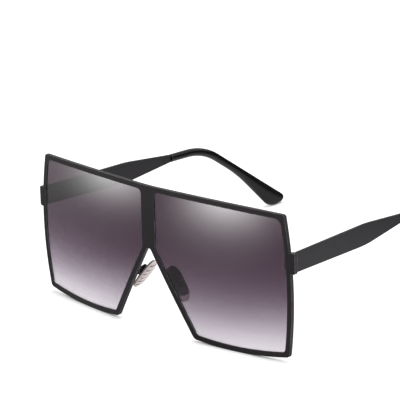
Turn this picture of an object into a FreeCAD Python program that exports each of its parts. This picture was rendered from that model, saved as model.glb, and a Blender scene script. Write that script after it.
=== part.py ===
import FreeCAD, Part
import math
import os
from FreeCAD import Vector

# Oversized flat-top sunglasses, open and standing on their lower rims and temple tips.
# X runs across the front (+X is the wearer's left), Y from the front to the ears, Z upwards.
# Lengths are in millimetres and angles in degrees.

# Front outline, as seen from the front
front_width = 146.0
front_height = 64.1
widest_height = 33.0
top_crown = 0.75
top_corner_inset = 3.15
top_corner_radius = 1.3
bottom_corner_inset = 2.55
bottom_corner_rise = 2.55
bottom_corner_radius = 1.7
bottom_low_half = 41.4
nose_foot_half = 22.45
nose_foot_rise = 1.1
nose_foot_radius = 3.0
notch_peak = 38.5
notch_radius = 1.7

# Rims around the lens openings
bridge_width = 7.7
top_bar = 2.2
side_rim = 2.2
bottom_rim = 2.35
nose_rim = 2.5
opening_top_outer_radius = 3.0
opening_top_inner_radius = 2.2
opening_kink_radius = 2.5
opening_bottom_outer_radius = 1.7
opening_bottom_inner_radius = 2.4

# Curvature and lean of the front
front_thickness = 1.5
base_curve_radius = 660.0
bridge_bend_radius = 80.0
bridge_bend_half = 4.9
front_lean = 1.93

# Lens and the channel that holds it, with a lower lip behind the lens than in front of it
lens_thickness = 0.8
channel_depth = 0.7
back_step = 0.45
lens_clearance = 0.05

# Lug at each end of the front
lug_height = 8.8
lug_centre_height = 43.4
lug_reach = 1.9
lug_radius = 0.8

# Temple strip and the tang that runs on into the tip
temple_thickness = 1.2
temple_front_height = 8.5
temple_kink_run = 47.0
temple_kink_height = 9.4
temple_kink_drop = 0.1
temple_kink_radius = 60.0
temple_run = 73.5
temple_end_height = 3.4
temple_end_rise = 0.6
temple_corner_radius = 0.5
temple_edge_bevel = 0.2
temple_yaw = 3.2
temple_fall = 2.79
lug_lip = 1.2
lug_gap = 0.25
tang_height = 1.9
tang_thickness = 0.9

# Tip sleeve, bent down behind the ear
tip_height = 3.7
tip_thickness = 3.0
tip_bevels = (0.7, 0.35)
tip_bend_run = 20.3
tip_bend_radius = 32.0
tip_bend_angle = 35.0
tip_leg = 63.3
tip_flare_run = 30.0
tip_flare_radius = 60.0
tip_flare = 5.5
tip_heel_run = 56.8
tip_heel_radius = 9.0
tip_toe_radius = 2.0
tip_wall_end = 14.0
tip_clearance = 0.03

# Hinge
hinge_offset = 2.7
hinge_setback = 2.6
knuckle_radius = 1.35
front_knuckle = 1.6
temple_knuckle = 2.2
knuckle_gap = 0.08
knuckle_side_gap = 0.2
hinge_side_gap = 0.3
leaf_thickness = 1.0
leaf_length = 8.0
hinge_screw_radius = 0.7
screw_clearance = 0.03
slot_width = 0.3
slot_depth = 0.25

# Nose pad, its core, box and screw
pad_half_spacing = 9.7
pad_setback = 7.75
pad_centre_height = 21.1
pad_pitch = 8.0
pad_splay = 6.0
pad_lean = 40.0
pad_length = 16.4
pad_width = 6.8
pad_thickness = 2.7
pad_dome_radius = 19.0
pad_bevel = 0.8
oval_end_share = 0.3
core_length = 13.8
core_width = 5.9
core_thickness = 0.5
core_shift = 0.9
core_clearance = 0.03
stem_width = 1.0
stem_length = 1.2
stem_reach = 1.2
stem_tail = 0.6
pivot_shift = -0.9
box_width = 2.0
box_length = 2.5
box_wall = 0.4
box_side_gap = 0.12
box_swing_gap = 0.25
box_mouth = 0.6
pad_screw_radius = 0.45
pad_head_radius = 0.8
pad_head_height = 0.4

# Nose pad arm, a bent wire
# Its loop's corners are steps from the pad's pivot: away from the nose, along the pad's width and length.
arm_radius = 0.4
arm_foot_low = 18.0
arm_foot_high = 22.5
arm_edge_inset = 0.8
arm_loop_steps = ((0.7, -0.6, 2.3), (0.3, 0.3, 4.1), (0.1, 1.4, 3.2), (0.0, 0.0, 2.2))

# Working allowances
seat_gap = 0.02
overrun = 5.0

# Sizes worked out from the ones above
half_width = front_width / 2
lug_edge = half_width + lug_reach
blank_depth = front_height
up = Vector(0, 0, 1)
bend_angle = math.asin(bridge_bend_half / bridge_bend_radius)
bend_centre = Vector(0, bridge_bend_radius, 0)
bend_outward = Vector(math.sin(bend_angle), -math.cos(bend_angle), 0)
base_centre = bend_centre - bend_outward * (base_curve_radius - bridge_bend_radius)
base_angle = math.asin((lug_edge + overrun - base_centre.x) / base_curve_radius)
tip_start = temple_run
tip_tangent = tip_bend_radius * math.tan(math.radians(tip_bend_angle) / 2)
tip_corner_run = tip_start + tip_bend_run
knuckle_stack = 2 * front_knuckle + temple_knuckle + 2 * knuckle_gap
pad_pivot = Vector(pad_thickness / 2 + stem_reach, 0, pivot_shift)
box_cavity_half = stem_length / 2 + box_swing_gap
box_cavity_depth = stem_tail + box_swing_gap
box_back = box_cavity_depth + box_wall


# Small helpers for outlines

def flat(x, z):
    return Vector(x, 0, z)


def across(point):
    return Vector(-point.x, point.y, point.z)


def mirrored(shape):
    return shape.mirror(Vector(0, 0, 0), Vector(1, 0, 0))


def arc(start, middle, end):
    return Part.Arc(start, middle, end).toShape()


def line(start, end):
    return Part.makeLine(start, end)


def crossing(curve, other, near):
    """Crossing of two flat curves that lies nearest to a point."""
    points = [Vector(p.X, p.Y, p.Z) for p in curve.intersect(other)]
    return min(points, key=near.distanceToPoint)


def arc_on(circle, start, end):
    """Short arc of a circle between two of its points."""
    towards = ((start + end) / 2 - circle.Center).normalize()
    return arc(start, circle.Center + towards * circle.Radius, end)


def shrunk(circle, amount):
    return Part.Circle(circle.Center, Vector(0, 1, 0), circle.Radius - amount)


def prism(edges):
    """Straight prism along Y over a closed outline in the front view."""
    face = Part.Face(Part.Wire(edges)).translated(Vector(0, -overrun, 0))
    return face.extrude(Vector(0, blank_depth + overrun, 0))


def round_corner(solid, corner, radius):
    """Rounds the prism edge that passes through a corner of its outline."""
    def distance(edge):
        ends = [flat(v.X, v.Z).distanceToPoint(corner) for v in edge.Vertexes]
        return max(ends)
    nearest = min(solid.Edges, key=distance)
    return solid.makeFillet(radius, [nearest])


def bend(before, corner, after, radius):
    """Start, middle and end of the arc that rounds a corner between two lines."""
    into = (corner - before).normalize()
    out = (after - corner).normalize()
    half_turn = into.getAngle(out) / 2
    tangent = radius * math.tan(half_turn)
    middle = corner + (out - into).normalize() * (radius / math.cos(half_turn) - radius)
    return corner - into * tangent, middle, corner + out * tangent


def rounded_outline(points, radii):
    """Closed outline of lines, with an arc of its own radius at each point."""
    afters = points[1:] + points[:1]
    bends = [bend(*sized) for sized in zip(points[-1:] + points, points, afters, radii)]
    edges = []
    for here, following in zip(bends, bends[1:] + bends[:1]):
        edges += [arc(*here), line(here[-1], following[0])]
    return edges


def rounded_path(points, radii):
    """Open run of lines through points, with an arc of its own radius at each inner point."""
    edges = []
    start = points[0]
    for sized in zip(points, points[1:], points[2:], radii):
        here = bend(*sized)
        edges += [line(start, here[0]), arc(*here)]
        start = here[-1]
    return edges + [line(start, points[-1])]


def block(low, high):
    size = high - low
    return Part.makeBox(size.x, size.y, size.z, low)


def rod(radius, base, direction, length):
    return Part.makeCylinder(radius, length, base, direction)


# The curved sheet that the front and the lenses are cut from

def outward(angle):
    """Level direction at an angle from straight ahead, towards +X."""
    return Vector(math.sin(angle), -math.cos(angle), 0)


def plan_edges(depth):
    """Front edge of the plan section, shifted back by a depth: lens arc, bridge arc, lens arc."""
    joint = bend_centre + bend_outward * (bridge_bend_radius - depth)
    middle = base_centre + outward((bend_angle + base_angle) / 2) * (base_curve_radius - depth)
    outer = base_centre + outward(base_angle) * (base_curve_radius - depth)
    nose = Vector(0, depth, 0)
    edges = [arc(across(outer), across(middle), across(joint)), arc(across(joint), nose, joint)]
    return edges + [arc(joint, middle, outer)], outer


def slab(front_depth, back_depth):
    """Curved sheet between two depths: the plan section turned about the level line through both
    centres of the lens arcs, so that each lens is part of a sphere and the bridge part of a ring."""
    front, front_end = plan_edges(front_depth)
    back, back_end = plan_edges(back_depth)
    closing = [line(front_end, back_end), line(across(back_end), across(front_end))]
    section = Part.Face(Part.Wire(Part.__sortEdges__(front + back + closing)))
    axis_point = Vector(0, base_centre.y, 0)
    half_sweep = math.degrees(math.asin((front_height / 2 + 2 * overrun) / base_curve_radius))
    start = section.rotated(axis_point, Vector(1, 0, 0), -half_sweep)
    sheet = start.revolve(axis_point, Vector(1, 0, 0), 2 * half_sweep)
    return sheet.translated(Vector(0, 0, widest_height))


def tilt(shape):
    """Leans the upright front back on its lower rims."""
    return shape.rotated(Vector(0, 0, 0), Vector(1, 0, 0), -front_lean)


def sheet_point(x, height, depth):
    """Point of the leaning sheet at a place of the front view and a depth behind the front face."""
    beside = (x - base_centre.x) ** 2 + (height - widest_height) ** 2
    y = base_centre.y - math.sqrt((base_curve_radius - depth) ** 2 - beside)
    lean = math.radians(front_lean)
    level = math.cos(lean) * height - math.sin(lean) * y
    return Vector(x, math.cos(lean) * y + math.sin(lean) * height, level)


# Outlines of the front and of the lens openings

top_middle = flat(0, front_height)
top_corner = flat(half_width - top_corner_inset, front_height - top_crown)
side_middle = flat(half_width, widest_height)
bottom_corner = flat(half_width - bottom_corner_inset, bottom_corner_rise)
bottom_low = flat(bottom_low_half, 0)
nose_foot = flat(nose_foot_half, nose_foot_rise)
notch = flat(0, notch_peak)
nose_direction = (notch - nose_foot).normalize()
nose_inward = Vector(nose_direction.z, 0, -nose_direction.x)


def front_blank():
    """Outer shape of the front with its lugs, before it is curved."""
    right = [arc(top_corner, side_middle, bottom_corner), arc(bottom_corner, bottom_low, nose_foot)]
    right += [line(nose_foot, notch)]
    left = [line(notch, across(nose_foot))]
    left += [arc(across(nose_foot), across(bottom_low), across(bottom_corner))]
    left += [arc(across(bottom_corner), across(side_middle), across(top_corner))]
    blank = prism([arc(across(top_corner), top_middle, top_corner)] + right + left)
    for corner, radius in (
        (top_corner, top_corner_radius),
        (bottom_corner, bottom_corner_radius),
        (nose_foot, nose_foot_radius),
    ):
        blank = round_corner(blank, corner, radius)
        blank = round_corner(blank, across(corner), radius)
    blank = round_corner(blank, notch, notch_radius)
    lug = lug_blank()
    return blank.fuse([lug, mirrored(lug)])


def lug_blank():
    low = lug_centre_height - lug_height / 2
    high = lug_centre_height + lug_height / 2
    root = half_width - side_rim / 2
    corners = [flat(root, low), flat(lug_edge, low), flat(lug_edge, high), flat(root, high)]
    return prism(rounded_outline(corners, [lug_radius] * len(corners)))


def opening_prism(grow):
    """Lens opening on the +X side, larger all round by a growth."""
    top = shrunk(Part.Circle(across(top_corner), top_middle, top_corner), top_bar - grow)
    side = shrunk(Part.Circle(top_corner, side_middle, bottom_corner), side_rim - grow)
    bottom = shrunk(Part.Circle(bottom_corner, bottom_low, nose_foot), bottom_rim - grow)
    nose_point = nose_foot + nose_inward * (nose_rim - grow)
    nose = Part.Line(nose_point, nose_point + nose_direction)
    bridge_edge = bridge_width / 2 - grow
    bridge = Part.Line(flat(bridge_edge, 0), flat(bridge_edge, front_height))
    top_inner = crossing(top, bridge, top_middle)
    top_outer = crossing(top, side, top_corner)
    bottom_outer = crossing(side, bottom, bottom_corner)
    bottom_inner = crossing(bottom, nose, nose_foot)
    kink = crossing(nose, bridge, notch)
    solid = prism([
        arc_on(top, top_inner, top_outer),
        arc_on(side, top_outer, bottom_outer),
        arc_on(bottom, bottom_outer, bottom_inner),
        line(bottom_inner, kink),
        line(kink, top_inner),
    ])
    for corner, radius in (
        (top_inner, opening_top_inner_radius),
        (top_outer, opening_top_outer_radius),
        (bottom_outer, opening_bottom_outer_radius),
        (bottom_inner, opening_bottom_inner_radius),
        (kink, opening_kink_radius),
    ):
        solid = round_corner(solid, corner, radius + grow)
    return solid


# Front and lenses

def centred_slab(thickness):
    """Curved sheet of a thickness in the middle of the front's own thickness."""
    return slab((front_thickness - thickness) / 2, (front_thickness + thickness) / 2)


def front_frame():
    """Sheet with two openings, each with a channel for the lens and stepped wider behind it."""
    opening = opening_prism(0)
    sheet = front_blank().cut([opening, mirrored(opening)]).common(slab(0, front_thickness))
    channel = opening_prism(channel_depth).common(centred_slab(lens_thickness + 2 * lens_clearance))
    step = opening_prism(back_step).common(slab(front_thickness / 2, front_thickness + overrun))
    return tilt(sheet.cut([channel, step, mirrored(channel), mirrored(step)]))


def lens():
    """Lens whose edge sits all round in the rim's channel."""
    return tilt(opening_prism(channel_depth - lens_clearance).common(centred_slab(lens_thickness)))


# Temple and tip, drawn flat in a plane of run (Y) and rise (Z)

temple_root_x = lug_edge - lug_lip - temple_thickness / 2
temple_root = sheet_point(temple_root_x, lug_centre_height, front_thickness) + Vector(0, lug_gap, 0)


def side(run, rise):
    return Vector(0, run, rise)


def place_temple(shape):
    """Moves a solid from the flat temple drawing to its place behind the +X lug."""
    fallen = shape.rotated(Vector(0, 0, 0), Vector(1, 0, 0), -temple_fall)
    turned = fallen.rotated(Vector(0, 0, 0), Vector(0, 0, 1), temple_yaw)
    return turned.translated(temple_root)


def side_plate(edges, thickness):
    """Plate of a thickness about the temple's middle plane."""
    face = Part.Face(Part.Wire(edges)).translated(Vector(-thickness / 2, 0, 0))
    return face.extrude(Vector(thickness, 0, 0))


def side_rims(plate):
    """Edges that run round the two broad sides of a plate."""
    reach = plate.BoundBox.XMax - seat_gap
    return [e for e in plate.Edges if e.BoundBox.XLength < seat_gap and abs(e.CenterOfMass.x) > reach]


def leg_point(along, offset):
    """Point beside the line that runs down from the tip's bend."""
    angle = math.radians(tip_bend_angle)
    run = tip_corner_run + math.cos(angle) * along + math.sin(angle) * offset
    rise = temple_end_rise - math.sin(angle) * along + math.cos(angle) * offset
    return side(run, rise)


def bend_edges(start_run, offset):
    """Line and bend beside the tip's centre line, from a run to the start of the leg."""
    half_angle = math.radians(tip_bend_angle) / 2
    bend_start = tip_corner_run - tip_tangent
    centre = side(bend_start, temple_end_rise - tip_bend_radius)
    radius = tip_bend_radius + offset
    middle = centre + side(math.sin(half_angle), math.cos(half_angle)) * radius
    first = side(bend_start, temple_end_rise + offset)
    last = leg_point(tip_tangent, offset)
    return [line(side(start_run, temple_end_rise + offset), first), arc(first, middle, last)]


def core_plate(start_run, half_height, end_run, thickness):
    """Bent bar along the tip's centre line: the tang, or the slot that takes it."""
    edges = []
    for offset in (half_height, -half_height):
        edges += bend_edges(start_run, offset)
        edges += [line(leg_point(tip_tangent, offset), leg_point(end_run, offset))]
    start = side(start_run, temple_end_rise)
    edges += [line(start - side(0, half_height), start + side(0, half_height))]
    edges += [line(leg_point(end_run, half_height), leg_point(end_run, -half_height))]
    return side_plate(Part.__sortEdges__(edges), thickness)


def temple():
    """Flat strip, widest at its kink, that runs on as a tang inside the tip."""
    front = temple_front_height / 2
    kink_top = side(temple_kink_run, temple_kink_height / 2 - temple_kink_drop)
    kink_bottom = side(temple_kink_run, -temple_kink_height / 2 - temple_kink_drop)
    end_top = side(temple_run, temple_end_rise + temple_end_height / 2)
    end_bottom = side(temple_run, temple_end_rise - temple_end_height / 2)
    corners = [end_bottom, kink_bottom, side(0, -front), side(0, front), kink_top, end_top]
    radii = [temple_kink_radius, temple_corner_radius, temple_corner_radius, temple_kink_radius]
    outline = rounded_path(corners, radii) + [line(end_top, end_bottom)]
    strip = side_plate(outline, temple_thickness)
    strip = strip.makeChamfer(temple_edge_bevel, side_rims(strip))
    tang = core_plate(temple_run - tang_height, tang_height / 2, tip_leg - tip_wall_end, tang_thickness)
    return place_temple(strip.fuse(tang).removeSplitter())


def temple_tip():
    """Rounded sleeve that bends down and flares to a broad, rounded end."""
    half = tip_height / 2
    start = tip_start + seat_gap
    leg_corners = [leg_point(tip_tangent, -half), leg_point(tip_flare_run, -half)]
    leg_corners += [leg_point(tip_heel_run, -half - tip_flare), leg_point(tip_leg, half)]
    leg_corners += [leg_point(tip_tangent, half)]
    edges = rounded_path(leg_corners, [tip_flare_radius, tip_heel_radius, tip_toe_radius])
    edges += bend_edges(start, half) + bend_edges(start, -half)
    edges += [line(side(start, temple_end_rise - half), side(start, temple_end_rise + half))]
    sleeve = side_plate(Part.__sortEdges__(edges), tip_thickness)
    for bevel in tip_bevels:
        sleeve = sleeve.makeChamfer(bevel, side_rims(sleeve))
    slot_half = tang_height / 2 + tip_clearance
    slot_end = tip_leg - tip_wall_end + tip_clearance
    slot = core_plate(start - overrun, slot_half, slot_end, tang_thickness + 2 * tip_clearance)
    return place_temple(sleeve.cut(slot))


# Hinge behind the +X lug, with its screw upright

hinge_axis = temple_root + Vector(-hinge_offset, hinge_setback, 0)
stack_low = hinge_axis.z - knuckle_stack / 2
temple_knuckle_low = stack_low + front_knuckle + knuckle_gap
upper_knuckle_low = temple_knuckle_low + temple_knuckle + knuckle_gap


def hinge_rod(radius, low, height):
    return rod(radius, Vector(hinge_axis.x, hinge_axis.y, low), up, height)


def hinge_front_leaf():
    """Block seated on the back of the lug, with a knuckle above and below the temple's one."""
    left = hinge_axis.x - knuckle_radius
    right = temple_root.x - temple_thickness / 2 - hinge_side_gap
    back = hinge_axis.y - knuckle_radius - knuckle_side_gap
    front = back - blank_depth
    leaf = block(Vector(left, front, stack_low), Vector(right, back, stack_low + knuckle_stack))
    for low in (stack_low, upper_knuckle_low):
        web_low = Vector(left, front, low)
        web_high = Vector(hinge_axis.x, hinge_axis.y, low + front_knuckle)
        leaf = leaf.fuse([block(web_low, web_high), hinge_rod(knuckle_radius, low, front_knuckle)])
    leaf = leaf.cut(hinge_rod(hinge_screw_radius + screw_clearance, stack_low, knuckle_stack))
    return leaf.cut(tilt(slab(-blank_depth, front_thickness + seat_gap))).removeSplitter()


def hinge_temple_leaf():
    """Plate on the strip's inner face, with the middle knuckle."""
    inner = -temple_thickness / 2 - leaf_thickness
    outer = -temple_thickness / 2 - seat_gap
    start = hinge_setback - knuckle_radius + hinge_side_gap
    half = knuckle_stack / 2
    plate = block(Vector(inner, start, -half), Vector(outer, start + leaf_length, half))
    clearing_radius = knuckle_radius + knuckle_side_gap
    clearing = hinge_rod(clearing_radius, stack_low - overrun, knuckle_stack + 2 * overrun)
    plate = place_temple(plate).cut(clearing)
    web_low = Vector(hinge_axis.x, hinge_axis.y - knuckle_radius, temple_knuckle_low)
    web_end = temple_root.x - temple_thickness / 2 - leaf_thickness / 2
    web_high = Vector(web_end, hinge_axis.y + knuckle_radius, temple_knuckle_low + temple_knuckle)
    knuckle = hinge_rod(knuckle_radius, temple_knuckle_low, temple_knuckle)
    leaf = plate.fuse([block(web_low, web_high), knuckle])
    bore = hinge_rod(hinge_screw_radius + screw_clearance, temple_knuckle_low, temple_knuckle)
    return leaf.cut(bore).removeSplitter()


def hinge_screw():
    """Slotted screw through the three knuckles, flush at both ends."""
    shank = hinge_rod(hinge_screw_radius, stack_low, knuckle_stack)
    slot_floor = stack_low + knuckle_stack - slot_depth
    slot_low = Vector(hinge_axis.x - slot_width / 2, hinge_axis.y - overrun, slot_floor)
    return shank.cut(block(slot_low, slot_low + Vector(slot_width, 2 * overrun, overrun)))


# Nose pads on the +X side, drawn about the pad's centre
# There X points away from the nose, Y along the pad's width and Z along its length.

pad_centre = Vector(pad_half_spacing, pad_setback, pad_centre_height)


def place_pad(thing):
    """Turns and moves a solid from the pad's own drawing to its place."""
    pitched = thing.rotated(Vector(0, 0, 0), Vector(1, 0, 0), -pad_pitch)
    splayed = pitched.rotated(Vector(0, 0, 0), Vector(0, 0, 1), -pad_splay)
    leaned = splayed.rotated(Vector(0, 0, 0), Vector(0, 1, 0), -pad_lean)
    return leaned.translated(pad_centre)


def pad_place(point):
    return place_pad(Part.Vertex(point)).Point


def oval(length, width, low, thickness):
    """Oval plate of four tangent arcs, its length along Z and its thickness along X."""
    half = width / 2
    end_radius = width * oval_end_share
    end_centre = length / 2 - end_radius
    side_radius = (half ** 2 + end_centre ** 2 - end_radius ** 2) / (2 * (half - end_radius))
    angle = math.atan2(end_centre, side_radius - half)
    y = math.cos(angle) * end_radius
    z = end_centre + math.sin(angle) * end_radius
    corners = [side(y, z), side(-y, z), side(-y, -z), side(y, -z)]
    middles = [side(0, length / 2), side(-half, 0), side(0, -length / 2), side(half, 0)]
    edges = [arc(*points) for points in zip(corners, middles, corners[1:] + corners[:1])]
    face = Part.Face(Part.Wire(edges)).translated(Vector(low, 0, 0))
    return face.extrude(Vector(thickness, 0, 0))


def pad_core_plate(clearance):
    low = pad_thickness / 2 - core_thickness - clearance
    plate = oval(core_length + 2 * clearance, core_width + 2 * clearance, low, core_thickness + clearance)
    return plate.translated(Vector(0, 0, core_shift))


def nose_pad():
    """Soft oval pad, bevelled and domed towards the nose, with a seat for its core in the back."""
    body = oval(pad_length, pad_width, -pad_thickness / 2, pad_thickness)
    face_rim = [e for e in side_rims(body) if e.CenterOfMass.x < 0]
    dome = Part.makeSphere(pad_dome_radius, Vector(pad_dome_radius - pad_thickness / 2, 0, 0))
    body = body.makeChamfer(pad_bevel, face_rim).common(dome)
    return place_pad(body.cut(pad_core_plate(core_clearance)))


def pad_bore():
    """Hole across the box and the stem for the pad screw."""
    along = Vector(0, 1, 0)
    start = pad_pivot - along * box_width
    return rod(pad_screw_radius + screw_clearance, start, along, 2 * box_width)


def nose_pad_core():
    """Oval plate moulded into the pad, with the pierced stem that the box holds."""
    half = Vector(0, stem_width / 2, stem_length / 2)
    low = Vector(pad_thickness / 2 - core_thickness, 0, pivot_shift) - half
    high = pad_pivot + Vector(stem_tail, 0, 0) + half
    core = pad_core_plate(0).fuse(block(low, high))
    return place_pad(core.cut(pad_bore()).removeSplitter())


def nose_pad_box():
    """Small box open towards the pad, pierced across for the pad screw."""
    outer_half = Vector(0, box_width / 2, box_length / 2)
    outer_low = pad_pivot - Vector(box_mouth, 0, 0) - outer_half
    outer_high = pad_pivot + Vector(box_back, 0, 0) + outer_half
    cavity_half = Vector(0, stem_width / 2 + box_side_gap, box_cavity_half)
    cavity_low = Vector(0, 0, pivot_shift) - cavity_half
    cavity_high = pad_pivot + Vector(box_cavity_depth, 0, 0) + cavity_half
    box = block(outer_low, outer_high).cut(block(cavity_low, cavity_high))
    return place_pad(box.cut(pad_bore()))


def nose_pad_screw():
    """Screw across the box, with its slotted head on the wearer's side."""
    along = Vector(0, 1, 0)
    head_base = pad_pivot + along * (box_width / 2)
    shank = rod(pad_screw_radius, pad_pivot - along * (box_width / 2), along, box_width)
    head = rod(pad_head_radius, head_base, along, pad_head_height)
    slot_low = head_base + Vector(-slot_width / 2, pad_head_height / 2, -pad_head_radius)
    slot = block(slot_low, slot_low + Vector(slot_width, pad_head_height, 2 * pad_head_radius))
    return place_pad(shank.fuse(head).cut(slot).removeSplitter())


def arm_foot(height):
    """Point of the arm's centre line on the back of the nose rim."""
    edge = nose_foot + nose_direction * ((height - nose_foot_rise) / nose_direction.z)
    seat = sheet_point(edge.x + arm_edge_inset, height, front_thickness)
    return seat + Vector(0, arm_radius + seat_gap, 0)


def nose_pad_arm():
    """Bent wire that runs up from its foot on the nose rim, loops over and comes down to the box."""
    loop = [pad_place(pad_pivot + Vector(*step)) for step in arm_loop_steps]
    box_end = pad_place(pad_pivot + Vector(0, 0, box_length / 2 + seat_gap))
    points = [arm_foot(arm_foot_low), arm_foot(arm_foot_high)] + loop + [box_end]
    section = Part.Wire(Part.makeCircle(arm_radius, points[0], points[1] - points[0]))
    return Part.makePolygon(points).makePipeShell([section], True, False, 1)


# All pieces, the +X side first and its mirror image second

def pieces():
    solids = {"front_frame": front_frame()}
    for name, solid in (
        ("lens", lens()),
        ("temple", temple()),
        ("temple_tip", temple_tip()),
        ("hinge_front_leaf", hinge_front_leaf()),
        ("hinge_temple_leaf", hinge_temple_leaf()),
        ("hinge_screw", hinge_screw()),
        ("nose_pad", nose_pad()),
        ("nose_pad_core", nose_pad_core()),
        ("nose_pad_box", nose_pad_box()),
        ("nose_pad_screw", nose_pad_screw()),
        ("nose_pad_arm", nose_pad_arm()),
    ):
        solids[name + "_left"] = solid
        solids[name + "_right"] = mirrored(solid)
    return solids


def standing(solids):
    """Shift that stands the pieces on Z = 0 with their plan box centred on the origin."""
    box = Part.makeCompound(list(solids.values())).optimalBoundingBox()
    return Vector(0, -(box.YMin + box.YMax) / 2, -box.ZMin)


os.makedirs("parts", exist_ok=True)
nodes = pieces()
shift = standing(nodes)
for name, solid in nodes.items():
    solid.translated(shift).exportStep(os.path.join("parts", name + ".step"))
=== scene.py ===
import math

import bpy
import numpy as np
from mathutils import Matrix, Vector


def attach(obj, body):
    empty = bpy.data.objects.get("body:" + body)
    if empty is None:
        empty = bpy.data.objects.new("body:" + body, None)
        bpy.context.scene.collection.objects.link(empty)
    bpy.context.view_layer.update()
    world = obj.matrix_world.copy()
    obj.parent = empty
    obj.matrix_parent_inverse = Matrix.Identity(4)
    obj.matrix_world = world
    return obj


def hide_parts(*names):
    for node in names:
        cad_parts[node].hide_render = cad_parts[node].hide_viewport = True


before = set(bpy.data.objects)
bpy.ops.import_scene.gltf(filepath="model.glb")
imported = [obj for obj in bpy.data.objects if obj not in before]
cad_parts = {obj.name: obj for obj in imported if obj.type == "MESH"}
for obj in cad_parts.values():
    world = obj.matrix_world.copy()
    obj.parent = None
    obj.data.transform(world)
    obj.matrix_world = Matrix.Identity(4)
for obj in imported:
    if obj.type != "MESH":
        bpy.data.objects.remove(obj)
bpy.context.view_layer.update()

# Oversized flat-top sunglasses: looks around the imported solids, in the same frame.
# X runs across the front (+X is the wearer's left), Y from the front to the ears, Z upwards.
# Pieces, floor, cards and camera are drawn in millimetres, as in the part's source, and put
# into metres; lengths inside the finishes and of the lamps are in metres.

MM = 0.001
FULL_TURN = 2 * math.pi
QUARTER_TURN = math.pi / 2
SIDES = (("left", 1.0), ("right", -1.0))

# Front sheet: spherical wings, leaning back
sheet_radius = 660.0
sheet_centre = (-35.525, 658.911)
widest_height = 33.0
front_lean = math.radians(1.93)
stand_shift = (0.0, -77.40735, 0.19976)

# Lens outline in the upright front view, out to the bottom of the rim's channel
lens_front_depth = 0.35
lens_thickness = 0.8
lens_grow = 0.65
top_arc = ((-69.85, 63.35), (0.0, 64.1), (69.85, 63.35))
side_arc = ((69.85, 63.35), (73.0, 33.0), (70.45, 2.55))
bottom_arc = ((70.45, 2.55), (41.4, 0.0), (22.45, 1.1))
nose_foot = (22.45, 1.1)
notch_peak = (0.0, 38.5)
rim_widths = {"top": 2.2, "side": 2.2, "bottom": 2.35, "nose": 2.5, "bridge": 3.85}
corner_blends = {"top_outer": 4.2, "bottom_outer": 2.5, "notch": 3.0, "inner": 2.8}

# Lens mesh: rings that shrink to the middle, and the search for the edge from there
lens_middle = (37.0, 34.0)
lens_farthest = 60.0
edge_halvings = 40
lens_ring_points = 240
lens_ring_shares = np.append(np.linspace(0.03, 0.97, 34), (0.99, 1.0))

# Temple drawing: where it is hung, and the tip's bent line in it
temple_root = (73.1, -66.1857, 43.2547)
temple_fall = math.radians(2.79)
temple_yaw = math.radians(3.2)
tip_start_run = 73.52
tip_rise = 0.6
tip_corner_run = 93.8
tip_bend_radius = 32.0
tip_bend_angle = math.radians(35.0)
tip_bend_start = tip_corner_run - tip_bend_radius * math.tan(tip_bend_angle / 2) - tip_start_run
tip_leg_offset = tip_bend_start + tip_bend_radius * (tip_bend_angle - math.tan(tip_bend_angle / 2))

# Tip's section, and the leg's flared edges as distances along the leg and beside it
tip_half_height = 1.85
tip_thickness = 3.0
tip_edge_radius = 1.05
tip_round_share = 0.98
tip_crown_share = 0.27
tip_crown_most = 1.0
tip_edge_lead = 30.0
tip_flare_run = 27.0
tip_heel = (56.8, -7.26)
tip_toe = (63.3, 1.85)
tip_flare_radius = 90.0
tip_heel_radius = 9.0
tip_toe_radius = 2.0
tip_edge_steps = 40

# Tip's mesh: sections over its rounded mouth, along its body and over its rounded end
tip_mouth_ways = (0.0, 0.04, 0.12, 0.25, 0.45)
tip_mouth_inset = 0.4
tip_body_start = 1.0
tip_body_sections = 110
tip_end_run = 4.0
tip_end_sections = 24
tip_end_gap = 0.003

# Nose pad: its place, its own axes (away from the nose, across, along) and its sizes
pad_centre = (9.7, -69.65735, 21.29976)
pad_axes = (
    (0.761848, -0.104528, 0.639266),
    (0.168753, 0.984843, -0.040077),
    (-0.625388, 0.138411, 0.767940),
)
pad_half_width = 3.4
pad_half_length = 8.2
pad_nose_depth = 1.7
pad_back_depth = 0.95
pad_seam_depth = 0.35

# Nose pad's fullness: 2 is an ellipse, more is squarer
pad_oval_fullness = 2.7
pad_nose_fullness = 2.7
pad_back_fullness = 5.0
pad_ring_points = 160
pad_rings = 96

# Nose pad's arched ribs, and the dark back tone that leaves its foot clear, partly the dark core
# seen through and partly painted shade
pad_rib_pitch = 2.3
pad_rib_height = 0.14
pad_rib_arch = 0.06
pad_shell_power = 0.3
pad_shell_foot = -0.74
pad_shell_ease = 0.1

# Nose pad arm: the wire's corners from its foot on the rim to the pad's box
arm_corners = (
    (13.105, -74.002, 18.109),
    (10.404, -74.132, 22.616),
    (11.199, -70.394, 24.477),
    (9.921, -69.217, 25.567),
    (10.517, -68.237, 24.704),
    (10.83, -69.744, 23.928),
    (11.411, -69.873, 23.214),
)
arm_corner_radii = (0.9, 0.8, 0.5, 0.5, 0.4)
arm_radius = 0.4
arm_corner_steps = 12
arm_end_sections = 8
arm_sections = 90
arm_ring_points = 20


# Meshes from grids of points

def grid_faces(rows, cols):
    """Quads that join each row of a grid to the next one, with the columns closed into rings."""
    row, col = np.meshgrid(np.arange(rows - 1), np.arange(cols), indexing="ij")
    after = (col + 1) % cols
    here, below = row * cols, (row + 1) * cols
    quads = (here + col, here + after, below + after, below + col)
    return np.stack(quads, axis=-1).reshape(-1, 4)


def fan_faces(pole, ring_start, cols):
    """Triangles from a pole to each neighbouring pair of a ring's points."""
    col = np.arange(cols)
    after = (col + 1) % cols
    return np.stack((np.full(cols, pole), ring_start + after, ring_start + col), axis=-1)


def enclosed_volume(points, triangles):
    """Signed volume: a sixth of the sum, over triangles, of each one's corners' triple product."""
    a, b, c = (points[triangles[:, i]] for i in range(3))
    return np.einsum("ij,ij->i", a, np.cross(b, c)).sum() / 6


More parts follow.
